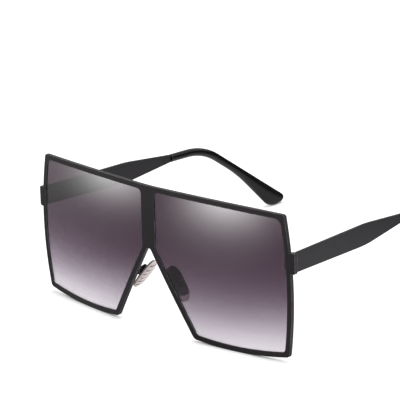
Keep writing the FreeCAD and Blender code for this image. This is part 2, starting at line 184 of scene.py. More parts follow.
def skin(name, grid, first_pole, last_pole, marks=None):
    """Closed smooth mesh over a grid of rings, with a pole that closes each end, faces outwards.

    Each mark is a named value at the grid's points; the poles take its first and last rings' means.
    """
    rows, cols, _ = grid.shape
    points = np.concatenate((grid.reshape(-1, 3), first_pole[None], last_pole[None]))
    quads = grid_faces(rows, cols)
    caps = np.concatenate((
        fan_faces(rows * cols, 0, cols),
        fan_faces(rows * cols + 1, (rows - 1) * cols, cols)[:, ::-1],
    ))
    triangles = np.concatenate((quads[:, :3], quads[:, [0, 2, 3]], caps))
    if enclosed_volume(points, triangles) < 0:
        quads = quads[:, ::-1]
        caps = caps[:, ::-1]
    mesh = bpy.data.meshes.new(name)
    mesh.from_pydata((points * MM).tolist(), [], quads.tolist() + caps.tolist())
    mesh.shade_smooth()
    for label, values in (marks or {}).items():
        ends = (values[0].mean(), values[-1].mean())
        layer = mesh.attributes.new(label, "FLOAT", "POINT")
        layer.data.foreach_set("value", np.append(values.reshape(-1), ends).astype(np.float32))
    mesh.validate()
    piece = bpy.data.objects.new(name, mesh)
    bpy.context.scene.collection.objects.link(piece)
    return piece


def mirrored(points, side):
    """Points as drawn for the wearer's left, or with X turned about for the right."""
    return points * np.array((side, 1.0, 1.0))


def rounded_run(corners, radii, steps):
    """Points of a run of straight lines whose inner corners are arcs of the given radii.

    Each arc starts and ends a tangent length from its corner, and turns about a centre on the
    corner's bisector; its points are the centre plus the radius turned by equal steps.
    """
    corners = [np.array(c, float) for c in corners]
    points = [corners[0][None]]
    for before, here, after, radius in zip(corners, corners[1:], corners[2:], radii):
        into = (here - before) / np.linalg.norm(here - before)
        out = (after - here) / np.linalg.norm(after - here)
        turn = math.acos(np.clip(into @ out, -1.0, 1.0))
        start = here - into * radius * math.tan(turn / 2)
        inward = (out - into @ out * into) / math.sin(turn)
        angle = np.linspace(0.0, turn, steps)[:, None]
        points.append(start + radius * (np.sin(angle) * into + (1 - np.cos(angle)) * inward))
    points.append(corners[-1][None])
    return np.concatenate(points)


def half_round(share):
    """Height of a quarter circle at a share of its base: steep from 0 at share 0, level at 1."""
    return np.sqrt(1 - (1 - share) ** 2)


# Lens: a shell between two spheres, cut to the rim's opening

def circle_through(a, b, c):
    """Centre and radius of the circle through three points of the front view."""
    (ax, ay), (bx, by), (cx, cy) = a, b, c
    twice = 2 * (ax * (by - cy) + bx * (cy - ay) + cx * (ay - by))
    a2, b2, c2 = ax * ax + ay * ay, bx * bx + by * by, cx * cx + cy * cy
    x = (a2 * (by - cy) + b2 * (cy - ay) + c2 * (ay - by)) / twice
    y = (a2 * (cx - bx) + b2 * (ax - cx) + c2 * (bx - ax)) / twice
    return np.array((x, y)), math.hypot(ax - x, ay - y)


def soft_least(a, b, blend):
    """The lesser of two distances, eased down by up to a quarter of blend where they are alike."""
    near = np.maximum(blend - np.abs(a - b), 0.0)
    return np.minimum(a, b) - near * near / (4 * blend)


def inside_lens(points):
    """Distance of front-view points inside the lens's edge: soft least of five sides' distances."""
    def within(arc, rim):
        """Distance inside an arc's circle, less the rim's width and plus the lens's overlap."""
        centre, radius = circle_through(*arc)
        return radius - rim + lens_grow - np.linalg.norm(points - centre, axis=-1)
    along = np.array(notch_peak) - np.array(nose_foot)
    along = along / np.linalg.norm(along)
    inward = np.array((along[1], -along[0]))
    top = within(top_arc, rim_widths["top"])
    side = within(side_arc, rim_widths["side"])
    bottom = within(bottom_arc, rim_widths["bottom"])
    nose = (points - np.array(nose_foot)) @ inward - (rim_widths["nose"] - lens_grow)
    bridge = points[..., 0] - (rim_widths["bridge"] - lens_grow)
    outer = soft_least(top, side, corner_blends["top_outer"])
    outer = soft_least(outer, bottom, corner_blends["bottom_outer"])
    inner = soft_least(bridge, nose, corner_blends["notch"])
    return soft_least(outer, inner, corner_blends["inner"])


def lens_reach(angles):
    """From the lens's middle to its edge along each angle, by halving the bracket of distances."""
    ways = np.stack((np.cos(angles), np.sin(angles)), axis=-1)
    low, high = np.zeros_like(angles), np.full_like(angles, lens_farthest)
    for _ in range(edge_halvings):
        half = (low + high) / 2
        inside = inside_lens(np.array(lens_middle) + ways * half[:, None]) > 0
        low, high = np.where(inside, half, low), np.where(inside, high, half)
    return ways * low[:, None]


def sheet_points(flat, depth):
    """Front-view points put on the sphere at a depth behind the front face, then leant back and
    stood up: Y is the sphere's centre less the root of its radius squared less the distance
    from its axis squared."""
    x, height = flat[..., 0], flat[..., 1]
    beside = (x - sheet_centre[0]) ** 2 + (height - widest_height) ** 2
    y = sheet_centre[1] - np.sqrt((sheet_radius - depth) ** 2 - beside)
    level = math.cos(front_lean) * height - math.sin(front_lean) * y
    back = math.cos(front_lean) * y + math.sin(front_lean) * height
    return np.stack((x, back, level), axis=-1) + np.array(stand_shift)


def lens(name, side):
    """Front and back spheres over rings that are the edge shrunk towards the lens's middle."""
    middle = np.array(lens_middle)
    edge = lens_reach(np.linspace(0.0, FULL_TURN, lens_ring_points, endpoint=False))
    flat = middle + lens_ring_shares[:, None, None] * edge[None]
    back_depth = lens_front_depth + lens_thickness
    front = sheet_points(flat, lens_front_depth)
    back = sheet_points(flat, back_depth)[::-1]
    grid = mirrored(np.concatenate((front, back)), side)
    front_pole = mirrored(sheet_points(middle, lens_front_depth), side)
    back_pole = mirrored(sheet_points(middle, back_depth), side)
    return skin(name, grid, front_pole, back_pole)


# Temple tip: a rounded bar along the bent line, flaring to a broad end

def hang_temple(points, side):
    """Points of the temple drawing (across, run, rise) tipped down, turned in, hung at the lug."""
    x, run, rise = points[..., 0], points[..., 1], points[..., 2]
    y = run * math.cos(temple_fall) + rise * math.sin(temple_fall)
    z = rise * math.cos(temple_fall) - run * math.sin(temple_fall)
    turned = np.stack((
        x * math.cos(temple_yaw) - y * math.sin(temple_yaw),
        x * math.sin(temple_yaw) + y * math.cos(temple_yaw),
        z,
    ), axis=-1)
    return mirrored(turned + np.array(temple_root), side)


def tip_line(way):
    """Centre line of the tip and its upward normal at distances along it: straight up to the
    bend, an arc through the bend's angle, then straight along the leg."""
    turned = np.clip((way - tip_bend_start) / tip_bend_radius, 0.0, tip_bend_angle)
    on_leg = np.maximum(way - tip_bend_start - tip_bend_radius * tip_bend_angle, 0.0)
    run = tip_start_run + np.minimum(way, tip_bend_start) + tip_bend_radius * np.sin(turned)
    run = run + on_leg * math.cos(tip_bend_angle)
    rise = tip_rise - tip_bend_radius * (1 - np.cos(turned)) - on_leg * math.sin(tip_bend_angle)
    return np.stack((run, rise), axis=-1), np.stack((np.sin(turned), np.cos(turned)), axis=-1)


def tip_edges():
    """Lower and upper edge of the tip's flared leg, as distances along the leg and beside it."""
    corners = (
        (-tip_edge_lead, -tip_half_height),
        (tip_flare_run, -tip_half_height),
        tip_heel,
        tip_toe,
        (-tip_edge_lead, tip_half_height),
    )
    radii = (tip_flare_radius, tip_heel_radius, tip_toe_radius)
    run = rounded_run(corners, radii, tip_edge_steps)
    last = int(np.argmax(run[:, 0]))
    return run[:last + 1], run[last:][::-1]


def tip_ways(length):
    """Distances along the tip for its sections: close at the mouth, even along the body, and
    ever closer at the end, by one minus the cosine of even angles."""
    ease = 1 - np.cos(np.linspace(0.0, QUARTER_TURN, tip_end_sections + 2)[:-2])
    body = np.linspace(tip_body_start, length - tip_end_run, tip_body_sections)
    ways = np.concatenate((tip_mouth_ways, body, length - tip_end_run * ease[::-1]))
    return np.minimum(ways, length - tip_end_gap)


def bar_section(half_width, half_height, radius, crown, steps=9):
    """Rings of a rounded bar: four quarter circles about the corners of an inner rectangle, with
    two points added on each broad side. The broad sides swell by the crown times one minus the
    squared share of the height."""
    quarter = np.linspace(0.0, QUARTER_TURN, steps)
    angle = np.concatenate([quarter + turn * QUARTER_TURN for turn in range(4)])
    sign_x = np.repeat((1.0, -1.0, -1.0, 1.0), steps)
    sign_z = np.repeat((1.0, 1.0, -1.0, -1.0), steps)
    x = sign_x * (half_width - radius)[:, None] + radius[:, None] * np.cos(angle)
    z = sign_z * (half_height - radius)[:, None] + radius[:, None] * np.sin(angle)
    thirds = np.array((1 / 3, -1 / 3))
    left_x = -half_width[:, None] * np.ones(2)
    left_z = (half_height - radius)[:, None] * thirds
    x = np.concatenate((x[:, :2 * steps], left_x, x[:, 2 * steps:], -left_x), axis=1)
    z = np.concatenate((z[:, :2 * steps], left_z, z[:, 2 * steps:], -left_z), axis=1)
    least_height = 1e-6
    swell = 1 - (z / np.maximum(half_height, least_height)[:, None]) ** 2
    return x + np.sign(x) * crown[:, None] * swell, z


def tip(name, side):
    """Rounded bar sections set square to the bent line, between the leg's lower and upper edge;
    they draw in as quarter circles at the mouth and at the end."""
    lower, upper = tip_edges()
    length = tip_leg_offset + lower[-1, 0]
    way = tip_ways(length)
    low = np.interp(way - tip_leg_offset, lower[:, 0], lower[:, 1])
    high = np.interp(way - tip_leg_offset, upper[:, 0], upper[:, 1])
    from_start = np.clip(way / tip_mouth_ways[-1], 0.0, 1.0)
    from_end = np.clip((length - way) / tip_edge_radius, 0.0, 1.0)
    inset = tip_mouth_inset * (1 - half_round(from_start))
    crown = np.minimum(tip_crown_share * (high - low) / 2, tip_crown_most)
    half_width = (tip_thickness / 2 - crown) * half_round(from_end) - inset
    half_height = (high - low) / 2 - inset
    radius = np.minimum(np.minimum(half_width, half_height), tip_edge_radius) * tip_round_share
    x, z = bar_section(half_width, half_height, radius, crown * from_end)
    centre, normal = tip_line(way)
    beside = ((high + low) / 2)[:, None] + z
    flat = centre[:, None, :] + beside[..., None] * normal[:, None, :]
    grid = hang_temple(np.concatenate((x[..., None], flat), axis=-1), side)
    return skin(name, grid, grid[0].mean(axis=0), grid[-1].mean(axis=0))


# Nose pad: a ribbed dome over an oval, with a flat, round-edged back

def signed_power(values, power):
    """Size of each value raised to a power, with the value's own sign."""
    return np.sign(values) * np.abs(values) ** power


def seam_fade(share, steepness, power):
    """1 in the pad's middle and 0 at its seam: steepness times one minus a power of the ring's
    share, held at 1."""
    return np.clip(steepness * (1 - share ** power), 0.0, 1.0)


def nose_pad(name, side):
    """Oval rings between two poles: the ring's share follows a power of the cosine of the height
    angle, its depth a power of the sine, and ribs stand between arched grooves on the nose side.

    The mark rib is 1 along the ribs' crests, where thin lines of painted shade go, and the dark
    back's mark is 1 on the back above the foot; that dark tone is partly painted shade.
    """
    round_angle = np.linspace(0.0, FULL_TURN, pad_ring_points, endpoint=False)
    height_angle = np.linspace(-QUARTER_TURN, QUARTER_TURN, pad_rings + 2)[1:-1, None]
    back = height_angle > 0
    nose_side = np.where(back, 0.0, 1.0)
    power = np.where(back, 2 / pad_back_fullness, 2 / pad_nose_fullness)
    oval = 2 / pad_oval_fullness
    share = np.abs(np.cos(height_angle)) ** power
    depth = np.where(back, pad_back_depth, -pad_nose_depth) * np.abs(np.sin(height_angle)) ** power
    across = share * pad_half_width * signed_power(np.cos(round_angle), oval)
    along = share * pad_half_length * signed_power(np.sin(round_angle), oval)

    arched = along + pad_rib_arch * across ** 2
    wave = 0.5 + 0.5 * np.cos(FULL_TURN * arched / pad_rib_pitch)
    crest = nose_side * wave ** 2
    rib = crest * seam_fade(share, steepness=1.6, power=3)
    groove = pad_rib_height * (1 - rib) * nose_side
    away = pad_seam_depth + depth + groove * seam_fade(share, steepness=1.0, power=4)

    axes, centre = np.array(pad_axes), np.array(pad_centre)
    local = np.stack((away, across, along), axis=-1)
    grid = mirrored(local @ axes + centre, side)
    nose_pole = mirrored(centre + axes[0] * away[0].mean(), side)
    back_pole = mirrored(centre + axes[0] * (pad_seam_depth + pad_back_depth), side)

    # Thin lines of painted shade along the ribs' crests
    line = crest * seam_fade(share, steepness=4.0, power=8)
    # Dark back tone, partly the core seen through and partly painted shade
    shell_and_shade = np.clip(depth / pad_back_depth, 0.0, 1.0) ** pad_shell_power
    above_foot = (along / pad_half_length - pad_shell_foot) / pad_shell_ease
    marks = {"rib": line, "shell_and_shade": shell_and_shade * np.clip(above_foot, 0.0, 1.0)}
    return skin(name, grid, nose_pole, back_pole, marks)


# Nose pad arm: a round wire carried along its rounded run of corners

def arm(name, side):
    """Circles square to the run; each circle's axes come from the run's direction and the pad's
    width axis, and the radius falls off as a half circle at both ends."""
    run = rounded_run(arm_corners, arm_corner_radii, arm_corner_steps)
    steps = np.linalg.norm(np.diff(run, axis=0), axis=1)
    way = np.append(0.0, np.cumsum(steps))
    length = way[-1]
    bulb = arm_radius * (1 - np.cos(np.linspace(0.0, QUARTER_TURN, arm_end_sections)))
    between = np.linspace(arm_radius, length - arm_radius, arm_sections)[1:-1]
    places = np.concatenate((bulb[1:], between, length - bulb[:0:-1]))
    line = np.stack([np.interp(places, way, run[:, i]) for i in range(3)], axis=-1)
    ahead = np.gradient(line, places, axis=0)
    ahead = ahead / np.linalg.norm(ahead, axis=1, keepdims=True)
    beside = np.cross(ahead, np.array(pad_axes[1]))
    beside = beside / np.linalg.norm(beside, axis=1, keepdims=True)
    above = np.cross(beside, ahead)
    from_end = np.clip(np.minimum(places, length - places) / arm_radius, 0.0, 1.0)
    radius = arm_radius * half_round(from_end)
    angle = np.linspace(0.0, FULL_TURN, arm_ring_points, endpoint=False)[:, None]
    ring = np.cos(angle) * beside[:, None] + np.sin(angle) * above[:, None]
    grid = mirrored(line[:, None] + radius[:, None, None] * ring, side)
    ends = mirrored(run[[0, -1]], side)
    return skin(name, grid, ends[0], ends[1])


# Shader nodes

def rgb(red, green, blue):
    """Opaque colour."""
    return (red, green, blue, 1.0)


WHITE = rgb(1.0, 1.0, 1.0)
BLACK = rgb(0.0, 0.0, 0.0)


def feed(tree, node, **inputs):
    """Gives a node's inputs a number, a colour or another node's output. An input is named with _
    for a space, or by its number after a leading _."""
    for name, value in inputs.items():
        slot = node.inputs[int(name[1:]) if name[0] == "_" else name.replace("_", " ")]
        if isinstance(value, bpy.types.NodeSocket):
            tree.links.new(value, slot)
        else:
            slot.default_value = value


def put(tree, kind, **inputs):
    """Adds a node of a kind and feeds its inputs."""
    node = tree.nodes.new(kind)
    feed(tree, node, **inputs)
    return node


def math_node(tree, operation, *values, clamp=False):
    """Result of a sum or function of the values, held between 0 and 1 where asked."""
    node = put(tree, "ShaderNodeMath", **{f"_{i}": v for i, v in enumerate(values)})
    node.operation = operation
    node.use_clamp = clamp
    return node.outputs[0]


def vector_math(tree, operation, first, second):
    """Node for a sum or product of two vectors."""
    node = put(tree, "ShaderNodeVectorMath", _0=first, _1=second)
    node.operation = operation
    return node


def mix_colour(tree, share, first, second):
    """First colour at share 0 and second at 1; a mix node's colour sockets go by number."""
    node = tree.nodes.new("ShaderNodeMix")
    node.data_type = "RGBA"
    feed(tree, node, _0=share, _6=first, _7=second)
    return node.outputs[2]


def ramp(tree, value, stops):
    """Colour that runs smoothly through the stops, each a position and a colour."""
    node = put(tree, "ShaderNodeValToRGB", Fac=value)
    node.color_ramp.interpolation = "B_SPLINE"
    elements = node.color_ramp.elements
    while len(elements) < len(stops):
        elements.new(0.5)
    for element, (position, colour) in zip(elements, stops):
        element.position = position
        element.color = colour
    return node.outputs["Color"]


BEVEL_SAMPLES = 6


def rounded_normal(tree, radius):
    """Normal as if edges were rounded by a radius."""
    node = put(tree, "ShaderNodeBevel", Radius=radius)
    node.samples = BEVEL_SAMPLES
    return node.outputs[0]


# Shader node groups that several finishes share

def new_group(name, inputs, outputs):
    """Empty group with coordinates and named numbers as inputs and named numbers as outputs; gives
    its tree, and the sockets inside it for what is given and what is wanted."""
    tree = bpy.data.node_groups.new(name, "ShaderNodeTree")
    tree.interface.new_socket(name="Vector", in_out="INPUT", socket_type="NodeSocketVector")
    for label, value in inputs.items():
        made = tree.interface.new_socket(name=label, in_out="INPUT", socket_type="NodeSocketFloat")
        made.default_value = value
    for label in outputs:
        tree.interface.new_socket(name=label, in_out="OUTPUT", socket_type="NodeSocketFloat")
    given = tree.nodes.new("NodeGroupInput").outputs
    wanted = tree.nodes.new("NodeGroupOutput").inputs
    return tree, given, wanted


def noise(tree, place, scale, detail, distortion=0.0):
    """Fractal noise about one half."""
    node = put(
        tree, "ShaderNodeTexNoise", Vector=place, Scale=scale, Detail=detail, Distortion=distortion,
    )
    return node.outputs["Fac"]


def stretch(tree, value, least, most):
    """A value's range from least to most brought to 0 to 1, and held there."""
    node = put(tree, "ShaderNodeMapRange", Value=value, From_Min=least, From_Max=most)
    return node.outputs[0]


def spray_grain_group():
    """Fine grain of a sprayed or moulded skin: small pits, and slow drifts of tone."""
    tree, given, wanted = new_group(
        "spray_grain", {"Grain Scale": 3000.0, "Drift Scale": 60.0}, ("Pits", "Drift"),
    )
    pits = noise(tree, given["Vector"], given["Grain Scale"], detail=3.0)
    drift = noise(tree, given["Vector"], given["Drift Scale"], detail=4.0)
    tree.links.new(pits, wanted["Pits"])
    tree.links.new(drift, wanted["Drift"])
    return tree


# How strongly the turn of an edge counts towards rubbed wear and painted highlight
EDGE_GAIN = 6.0


def edge_wear_and_highlight_group():
    """Where edges are rubbed and carry a painted highlight: how far the rounded normal leaves the
    true one, broken by noise.
    """
    tree, given, wanted = new_group("edge_wear_and_highlight", {"Reach": 0.0003, "Patch Scale": 300.0}, ("Wear_Highlight",))
    soft = rounded_normal(tree, given["Reach"])
    true = tree.nodes.new("ShaderNodeNewGeometry").outputs["True Normal"]
    meet = vector_math(tree, "DOT_PRODUCT", soft, true).outputs["Value"]
    edge = math_node(tree, "SUBTRACT", 1.0, meet)
    edge = math_node(tree, "MULTIPLY", edge, EDGE_GAIN, clamp=True)
    patch = noise(tree, given["Vector"], given["Patch Scale"], detail=5.0)
    patch = stretch(tree, patch, least=0.25, most=0.65)
    tree.links.new(math_node(tree, "MULTIPLY", edge, patch), wanted["Wear_Highlight"])
    return tree


def handling_group():
    """Faint smears left by handling: the upper part of a warped noise."""
    tree, given, wanted = new_group("handling", {"Smear Scale": 45.0}, ("Smear",))
    smear = noise(tree, given["Vector"], given["Smear Scale"], detail=5.0, distortion=1.2)
    tree.links.new(stretch(tree, smear, least=0.45, most=0.8), wanted["Smear"])
    return tree


spray_grain = spray_grain_group()
edge_wear_and_highlight = edge_wear_and_highlight_group()
handling = handling_group()


def use_group(tree, group, **inputs):
    """Adds a node group, feeds its inputs and gives its outputs."""
    node = tree.nodes.new("ShaderNodeGroup")
    node.node_tree = group
    feed(tree, node, **inputs)
    return node.outputs


# Finishes

def finish(name):
    """New material with its Principled shader and the piece's own coordinates."""
    material = bpy.data.materials.new(name)
    material.use_nodes = True
    tree = material.node_tree
    shader = tree.nodes["Principled BSDF"]
    place = tree.nodes.new("ShaderNodeTexCoord").outputs["Object"]
    return material, tree, shader, place


def pass_lamp_light(tree, shader, tint):
    """Lets lamp light through, tinted, so that the piece's shadow is pale."""
    clear = put(tree, "ShaderNodeBsdfTransparent", Color=tint).outputs[0]
    shadow_ray = tree.nodes.new("ShaderNodeLightPath").outputs["Is Shadow Ray"]
    both = put(tree, "ShaderNodeMixShader", _0=shadow_ray, _1=shader.outputs[0], _2=clear)
    tree.links.new(both.outputs[0], tree.nodes["Material Output"].inputs["Surface"])


def attribute(tree, label):
    """A mark of the mesh."""
    node = tree.nodes.new("ShaderNodeAttribute")
    node.attribute_name = label
    return node.outputs["Fac"]


# Coats: how much pits and smears change the roughness, the pits' bump and the edges' rounding
PIT_ROUGHNESS = 0.08
SMEAR_ROUGHNESS = 0.07
PIT_STRENGTH = 0.25
EDGE_ROUNDING = 0.00012


def uneven_roughness(tree, grain, touch, least, by_pits, by_smears):
    """A least roughness, raised by the grain's pits and by smears."""
    pitted = math_node(tree, "MULTIPLY_ADD", grain["Pits"], by_pits, least)
    return math_node(tree, "MULTIPLY_ADD", touch["Smear"], by_smears, pitted, clamp=True)


def coated(name, dark, light, rough, gloss, grain_scale, pit_depth, wear_and_highlight_colour, wear_and_highlight_share):
    """Opaque finish: two close tones that drift, pits in the bump, lighter edges that are partly
    rubbed wear and partly a painted highlight, smears.
    """
    material, tree, shader, place = finish(name)
    grain = use_group(tree, spray_grain, Vector=place, Grain_Scale=grain_scale)
    wear_highlight = use_group(tree, edge_wear_and_highlight, Vector=place)
    touch = use_group(tree, handling, Vector=place)
    tone = mix_colour(tree, grain["Drift"], dark, light)
    # Edge share: rubbed wear, and on the frame mostly a painted highlight
    worn_and_lit = math_node(tree, "MULTIPLY", wear_highlight["Wear_Highlight"], wear_and_highlight_share)
    least = rough - PIT_ROUGHNESS / 2
    roughness = uneven_roughness(tree, grain, touch, least, PIT_ROUGHNESS, SMEAR_ROUGHNESS)
    bump = put(
        tree, "ShaderNodeBump", Strength=PIT_STRENGTH, Distance=pit_depth, Height=grain["Pits"],
        Normal=rounded_normal(tree, EDGE_ROUNDING),
    )
    feed(
        tree, shader, Base_Color=mix_colour(tree, worn_and_lit, tone, wear_and_highlight_colour), Roughness=roughness,
        Specular_IOR_Level=gloss, Normal=bump.outputs[0],
    )
    return material


def screw_finish():
    """Bright steel whose tone drifts, with fine pits and smears."""
    material, tree, shader, place = finish("screw_steel")
    grain = use_group(tree, spray_grain, Vector=place, Grain_Scale=5000.0)
    touch = use_group(tree, handling, Vector=place)
    steel = mix_colour(tree, grain["Drift"], rgb(0.26, 0.25, 0.24), rgb(0.42, 0.41, 0.40))
    roughness = uneven_roughness(tree, grain, touch, least=0.2, by_pits=0.2, by_smears=0.1)
    bump = put(tree, "ShaderNodeBump", Strength=0.2, Distance=0.00001, Height=grain["Pits"])
    feed(
        tree, shader, Base_Color=steel, Roughness=roughness, Metallic=1.0, Normal=bump.outputs[0],
    )
    return material


# Lens: its top, how far the tint falls per length outwards, how smears shift and dull it, and
# the tint from bottom to top
LENS_TOP = 0.0645
LENS_OUTWARD_FALL = 0.06
LENS_TINT_WANDER = 0.0006
LENS_SMEAR_ROUGHNESS = 0.012
lens_stops = (
    (0.0, rgb(0.71, 0.68, 0.71)),
    (0.08, rgb(0.59, 0.55, 0.60)),
    (0.16, rgb(0.41, 0.36, 0.42)),
    (0.24, rgb(0.275, 0.23, 0.28)),
    (0.33, rgb(0.170, 0.130, 0.167)),
    (0.43, rgb(0.101, 0.071, 0.096)),
    (0.55, rgb(0.066, 0.043, 0.061)),
    (0.70, rgb(0.050, 0.030, 0.045)),
    (1.0, rgb(0.047, 0.026, 0.039)),
)


def lens_finish():
    """Gradient-tinted lens: nearly clear at the bottom, deep brown violet above, a little paler
    outwards, under a hard coat. Light from lamps passes tinted, so the shadow is pale too."""
    material, tree, shader, place = finish("lens_tint")
    apart = put(tree, "ShaderNodeSeparateXYZ", Vector=place).outputs
    outwards = math_node(tree, "ABSOLUTE", apart["X"])
    height = math_node(tree, "MULTIPLY_ADD", outwards, -LENS_OUTWARD_FALL, apart["Z"])
    height = math_node(tree, "ADD", height, LENS_OUTWARD_FALL * lens_middle[0] * MM)
    smear = use_group(tree, handling, Vector=place, Smear_Scale=30.0)["Smear"]
    wander = math_node(tree, "MULTIPLY_ADD", smear, LENS_TINT_WANDER, height)
    level = math_node(tree, "DIVIDE", wander, LENS_TOP, clamp=True)
    tint = ramp(tree, level, lens_stops)
    feed(
        tree, shader, Base_Color=tint, Transmission_Weight=1.0, IOR=1.5, Specular_IOR_Level=0.16,
        Roughness=math_node(tree, "MULTIPLY", smear, LENS_SMEAR_ROUGHNESS),
        Coat_Weight=1.0, Coat_IOR=1.6, Coat_Roughness=0.03,
    )
    pass_lamp_light(tree, shader, tint)
    return material


# Nose pad: how thin its lines of painted shade are, and the tones laid over its body, with a dark
# back that is partly painted shade
PAD_RIB_SHADE_POWER = 3.6
PAD_LEAST_ROUGHNESS = 0.12
# Painted shade: thin dark lines along the ribs' crests
pad_rib_shade_colour = rgb(0.02, 0.017, 0.017)
# Partly painted shade: the pad's dark back tone, also standing for the dark core seen through
pad_shell_and_shade_colour = rgb(0.02, 0.0185, 0.0185)
pad_shadow_tint = rgb(0.9, 0.87, 0.87)


def pad_finish():
    """Milky soft silicone, faintly pink, with thin lines of painted shade along the ribs' crests,
    and a dark back that leaves the foot clear, partly the dark core seen through and partly painted
    shade."""
    material, tree, shader, place = finish("pad_clear")
    grain = use_group(tree, spray_grain, Vector=place, Grain_Scale=2500.0, Drift_Scale=400.0)
    body = mix_colour(tree, grain["Drift"], rgb(0.99, 0.85, 0.83), rgb(0.99, 0.88, 0.86))
    line = math_node(tree, "POWER", attribute(tree, "rib"), PAD_RIB_SHADE_POWER)
    rib_shaded = mix_colour(tree, line, body, pad_rib_shade_colour)
    shelled_and_shaded = mix_colour(tree, attribute(tree, "shell_and_shade"), rib_shaded, pad_shell_and_shade_colour)
    pitted = math_node(tree, "MULTIPLY_ADD", grain["Pits"], PIT_ROUGHNESS, PAD_LEAST_ROUGHNESS)
    feed(
        tree, shader, Base_Color=shelled_and_shaded, Roughness=pitted,
        Transmission_Weight=0.06, IOR=1.43, Specular_IOR_Level=0.3,
    )
    pass_lamp_light(tree, shader, pad_shadow_tint)
    return material


finishes = {
    "frame_paint": coated(
        "frame_paint", dark=rgb(0.0275, 0.0232, 0.0263), light=rgb(0.0350, 0.0300, 0.0338),
        rough=0.40, gloss=0.15, grain_scale=2600.0, pit_depth=0.00002,
        # Painted highlight: this bright edge colour draws light lines along the rims' edges, broken
        # into patches like rubbed wear
        wear_and_highlight_colour=rgb(0.34, 0.335, 0.345), wear_and_highlight_share=0.85,
    ),
    "temple_paint": coated(
        "temple_paint", dark=rgb(0.0188, 0.0170, 0.0198), light=rgb(0.0260, 0.0238, 0.0275),
        rough=0.40, gloss=0.19, grain_scale=2600.0, pit_depth=0.00002,
        wear_and_highlight_colour=rgb(0.05, 0.05, 0.052), wear_and_highlight_share=0.5,
    ),
    "hinge_paint": coated(
        "hinge_paint", dark=rgb(0.007, 0.007, 0.007), light=rgb(0.013, 0.012, 0.013),
        rough=0.36, gloss=0.30, grain_scale=3200.0, pit_depth=0.00002,
        wear_and_highlight_colour=rgb(0.09, 0.088, 0.085), wear_and_highlight_share=0.7,
    ),
    "tip_plastic": coated(
        "tip_plastic", dark=rgb(0.004, 0.004, 0.004), light=rgb(0.007, 0.007, 0.0075),
        rough=0.15, gloss=0.28, grain_scale=1500.0, pit_depth=0.000012,
        wear_and_highlight_colour=rgb(0.02, 0.02, 0.021), wear_and_highlight_share=0.4,
    ),
    "core_dark": coated(
        "core_dark", dark=rgb(0.006, 0.006, 0.006), light=rgb(0.010, 0.009, 0.010),
        rough=0.45, gloss=0.22, grain_scale=3000.0, pit_depth=0.000015,
        wear_and_highlight_colour=rgb(0.03, 0.03, 0.03), wear_and_highlight_share=0.4,
    ),
    "screw_steel": screw_finish(),
    "lens_tint": lens_finish(),
    "pad_clear": pad_finish(),
}

# CAD nodes that keep their own shape, by the finish they get
node_finishes = {
    "front_frame": "frame_paint",
    "temple": "temple_paint",
    "hinge_front_leaf": "hinge_paint",
    "hinge_temple_leaf": "hinge_paint",
    "hinge_screw": "screw_steel",
    "nose_pad_core": "core_dark",
    "nose_pad_box": "hinge_paint",
    "nose_pad_screw": "screw_steel",
}

for node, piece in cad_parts.items():
    kind = node.removesuffix("_left").removesuffix("_right")
    if kind in node_finishes:
        piece.data.materials.clear()
        piece.data.materials.append(finishes[node_finishes[kind]])

# New pieces: the node each stands for, how it is made, its finish and the body it rides on
new_pieces = (
    ("lens", lens, "lens_tint", "front"),
    ("temple_tip", tip, "tip_plastic", "temple_{}_arm"),
    ("nose_pad", nose_pad, "pad_clear", "pad_{}"),
    ("nose_pad_arm", arm, "hinge_paint", "front"),
)

for kind, make, slot_name, body in new_pieces:
    for side_name, side in SIDES:
        piece = make(f"{kind}_{side_name}_shaped", side)
        piece.data.materials.append(finishes[slot_name])
        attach(piece, body.format(side_name))
        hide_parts(f"{kind}_{side_name}")


# Studio: floor, cards that only reflections see, lamps, world and camera

FLOOR_HALF = 4000.0
FLOOR_GLOW = 0.54
CONTACT_REACH = 0.003
CONTACT_SAMPLES = 8
WORLD_FILL = 0.5
CARD_HEIGHT = 0.3
LEVEL_WAYS = ((1.0, 0.0, 0.0), (0.0, 1.0, 0.0))


def level_corners(x_ends, y_ends, height):
    """Corners of a level rectangle."""
    (x0, x1), (y0, y1) = x_ends, y_ends
    return [(x0, y0, height), (x1, y0, height), (x1, y1, height), (x0, y1, height)]


def sheet_object(name, corners, material):
    """Flat studio sheet between four corners."""
    mesh = bpy.data.meshes.new(name)
    mesh.from_pydata([tuple(c * MM for c in corner) for corner in corners], [], [(0, 1, 2, 3)])
    mesh.materials.append(material)
    made = bpy.data.objects.new(name, mesh)
    bpy.context.scene.collection.objects.link(made)
    return made


def seen_share(tree):
    """1 for rays from the camera, from reflections and through glass, 0 for the rest."""
    path = tree.nodes.new("ShaderNodeLightPath").outputs
    seen = math_node(tree, "MAXIMUM", path["Is Camera Ray"], path["Is Glossy Ray"])
    return math_node(tree, "MAXIMUM", seen, path["Is Transmission Ray"])


def floor_finish():
    """White table: matt, with a glow that only rays from the camera, gloss and glass see, and that
    weakens where something stands close, as a painted contact shadow."""
    material, tree, shader, place = finish("floor_white")
    grain = use_group(tree, spray_grain, Vector=place, Grain_Scale=400.0, Drift_Scale=3.0)
    white = mix_colour(tree, grain["Drift"], rgb(0.80, 0.80, 0.80), rgb(0.82, 0.82, 0.82))
    near = put(tree, "ShaderNodeAmbientOcclusion", Distance=CONTACT_REACH)
    near.samples = CONTACT_SAMPLES
    glow = math_node(tree, "MULTIPLY", seen_share(tree), FLOOR_GLOW)
    # Painted contact shadow: occlusion dims the glow close to the object
    glow = math_node(tree, "MULTIPLY", glow, near.outputs["AO"])
    feed(
        tree, shader, Base_Color=white, Roughness=0.9, Specular_IOR_Level=0.0,
        Emission_Color=WHITE, Emission_Strength=glow,
    )
    return material


